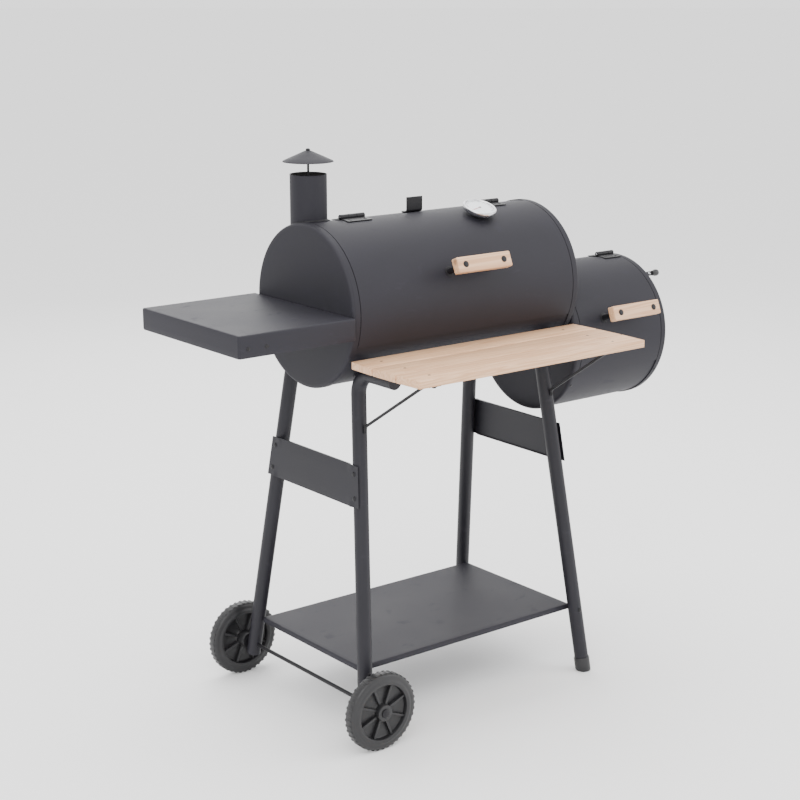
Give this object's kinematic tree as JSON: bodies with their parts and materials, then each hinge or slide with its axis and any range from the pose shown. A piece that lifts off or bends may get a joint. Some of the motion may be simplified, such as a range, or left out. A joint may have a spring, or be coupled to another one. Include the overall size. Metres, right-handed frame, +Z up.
{
  "type": "offset smoker",
  "caption": "Barrel smoker with a side firebox, hinged lids, chimney with rain cap, wooden front shelf, side tray and a wheeled leg frame.",
  "frame": {"origin": "middle of the base of the bounding box, on the ground", "axes": "+X along the barrel towards the firebox, +Y to the back, +Z up; the front shelf and the lid handles are on the -Y side"},
  "size_m": [1.1678, 0.6306, 1.149],
  "materials": {
    "black_paint": "matt heat-resistant black paint",
    "steel": "plain steel with a soft sheen",
    "pine": "light pine, clear oiled",
    "black_plastic": "moulded, matt",
    "cast_grate": "seasoned"
  },
  "bodies": {
    "smoker": {"barrel_shell": "black_paint", "barrel_end_cap_left": "black_paint", "barrel_end_cap_right": "black_paint", "barrel_hinge_base_leaf_left": "black_paint", "barrel_hinge_base_leaf_right": "black_paint", "barrel_hinge_pin_left": "steel", "barrel_hinge_pin_right": "steel", "chimney_pipe": "black_paint", "chimney_cross_bar": "black_paint", "lid_stop": "black_paint", "charcoal_grate": "cast_grate", "firebox_shell": "black_paint", "firebox_end_cap_left": "black_paint", "firebox_end_cap_right": "black_paint", "firebox_hinge_base_leaf_left": "black_paint", "firebox_hinge_base_leaf_right": "black_paint", "firebox_hinge_pin_left": "steel", "firebox_hinge_pin_right": "steel", "firebox_grate": "cast_grate", "damper_pivot_bolt": "steel", "leg_front_left": "black_paint", "leg_front_right": "black_paint", "leg_rear_left": "black_paint", "leg_rear_right": "black_paint", "foot_cap_front": "black_plastic", "foot_cap_rear": "black_plastic", "leg_panel_left": "black_paint", "leg_panel_right": "black_paint", "bottom_shelf": "black_paint", "wheel_axle": "steel", "front_shelf_slat_1": "pine", "front_shelf_slat_2": "pine", "front_shelf_slat_3": "pine", "front_shelf_rail_left": "black_paint", "front_shelf_rail_right": "black_paint", "front_shelf_brace_left": "black_paint", "front_shelf_brace_right": "black_paint", "side_shelf": "black_paint"},
    "barrel_lid": {"barrel_lid": "black_paint", "barrel_hinge_lid_leaf_left": "black_paint", "barrel_hinge_lid_leaf_right": "black_paint", "barrel_handle_bar": "pine", "barrel_handle_stud_left": "steel", "barrel_handle_stud_right": "steel", "thermometer_case": "steel", "thermometer_probe": "steel"},
    "firebox_lid": {"firebox_lid": "black_paint", "firebox_hinge_lid_leaf_left": "black_paint", "firebox_hinge_lid_leaf_right": "black_paint", "firebox_handle_bar": "pine", "firebox_handle_stud_left": "steel", "firebox_handle_stud_right": "steel"},
    "rain_cap": {"chimney_rain_cap": "black_paint", "chimney_cap_rod": "steel"},
    "air_damper": {"air_damper": "black_paint", "damper_knob": "black_plastic"},
    "wheel_front": {"wheel_front": "black_plastic"},
    "wheel_rear": {"wheel_rear": "black_plastic"},
    "cooking_grate_left": {"cooking_grate_left": "cast_grate"},
    "cooking_grate_right": {"cooking_grate_right": "cast_grate"}
  },
  "joints": [
    {"name": "barrel_lid_hinge", "type": "hinge", "parent": "smoker", "child": "barrel_lid", "pos_m": [-0.0263, 0.04605, 1.0155], "axis": [-1, 0, 0], "range_deg": [0, 105]},
    {"name": "firebox_lid_hinge", "type": "hinge", "parent": "smoker", "child": "firebox_lid", "pos_m": [0.40605, 0.04605, 0.871], "axis": [-1, 0, 0], "range_deg": [0, 100]},
    {"name": "rain_cap_slide", "type": "slide", "parent": "smoker", "child": "rain_cap", "axis": [0, 0, 1], "range_m": [-0.016, 0.008]},
    {"name": "air_damper_turn", "type": "hinge", "parent": "smoker", "child": "air_damper", "pos_m": [0.5441, 0.04605, 0.7085], "axis": [1, 0, 0], "range_deg": [0, 60]},
    {"name": "wheel_front_spin", "type": "hinge", "parent": "smoker", "child": "wheel_front", "pos_m": [-0.3241, 0.04605, 0.08], "axis": [0, 1, 0], "continuous": true},
    {"name": "wheel_rear_spin", "type": "hinge", "parent": "smoker", "child": "wheel_rear", "pos_m": [-0.3241, 0.04605, 0.08], "axis": [0, 1, 0], "continuous": true},
    {"name": "cooking_grate_left_lift", "type": "slide", "parent": "smoker", "child": "cooking_grate_left", "axis": [0, 0, 1], "range_m": [0, 0.04]},
    {"name": "cooking_grate_right_lift", "type": "slide", "parent": "smoker", "child": "cooking_grate_right", "axis": [0, 0, 1], "range_m": [0, 0.04]}
  ]
}
